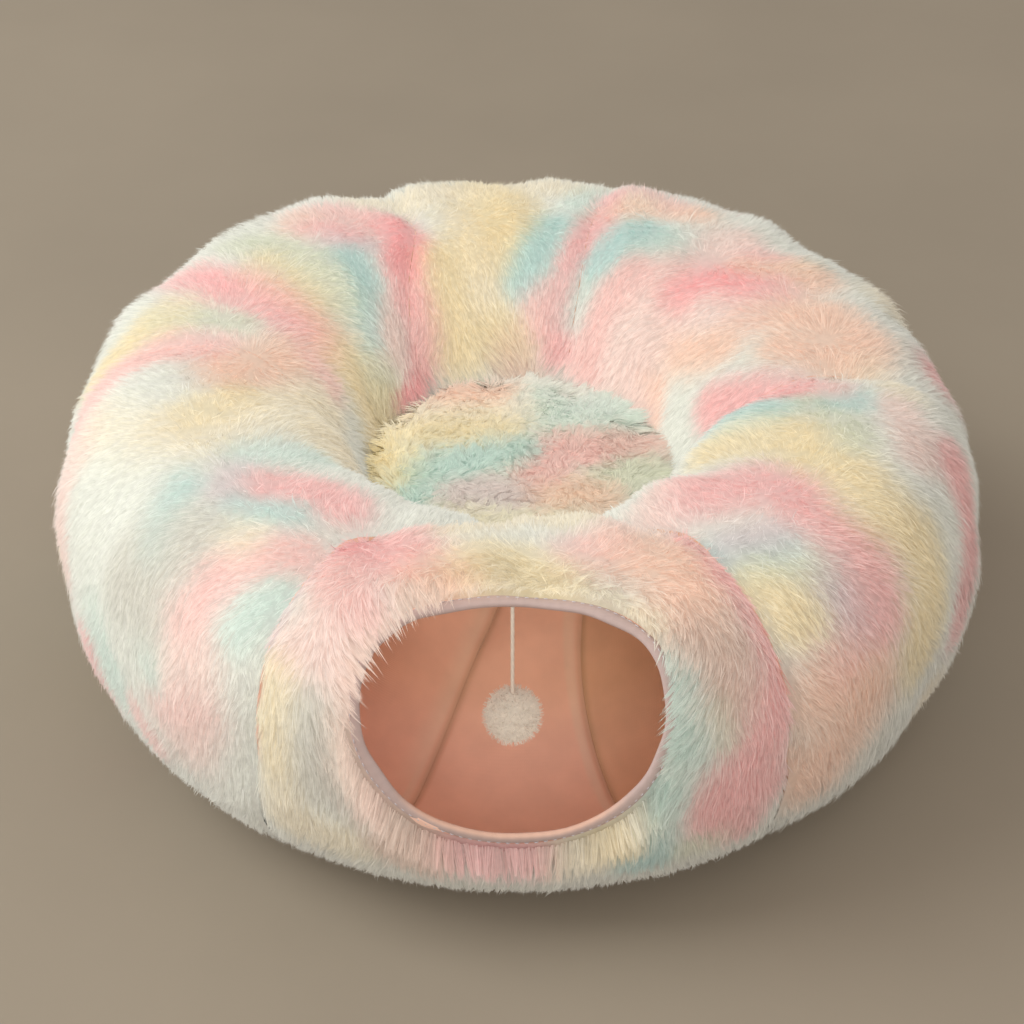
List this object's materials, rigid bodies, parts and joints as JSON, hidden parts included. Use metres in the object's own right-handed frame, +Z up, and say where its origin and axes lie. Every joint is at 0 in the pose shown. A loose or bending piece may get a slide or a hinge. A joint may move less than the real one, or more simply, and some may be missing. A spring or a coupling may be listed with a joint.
{
  "type": "cat tunnel bed",
  "caption": "Plush ring-shaped cat tunnel with an oval bound mouth, a pompom hanging in the mouth and a round filled pad in the ring's middle.",
  "frame": {"origin": "on the floor under the middle of the bed's box", "axes": "+Z up, the mouth faces -Y, +X to the right of someone who looks into the mouth"},
  "size_m": [0.5989, 0.5908, 0.2264],
  "materials": {
    "plush": "long soft pile, tie-dyed in pastel pink, cream, peach and aqua, with a salmon woven back",
    "binding_tape": "folded white woven tape",
    "cord": "twisted white cord",
    "pompom_yarn": "fluffy white yarn ends",
    "pad_plush": "shorter matted pile in the same pastel dyes"
  },
  "bodies": {
    "root": {"panel_front": "plush", "panel_front_right": "plush", "panel_back_right": "plush", "panel_back": "plush", "panel_back_left": "plush", "panel_front_left": "plush", "mouth_binding": "binding_tape", "pompom_cord": "cord", "pompom": "pompom_yarn", "centre_pad": "pad_plush"}
  },
  "joints": []
}
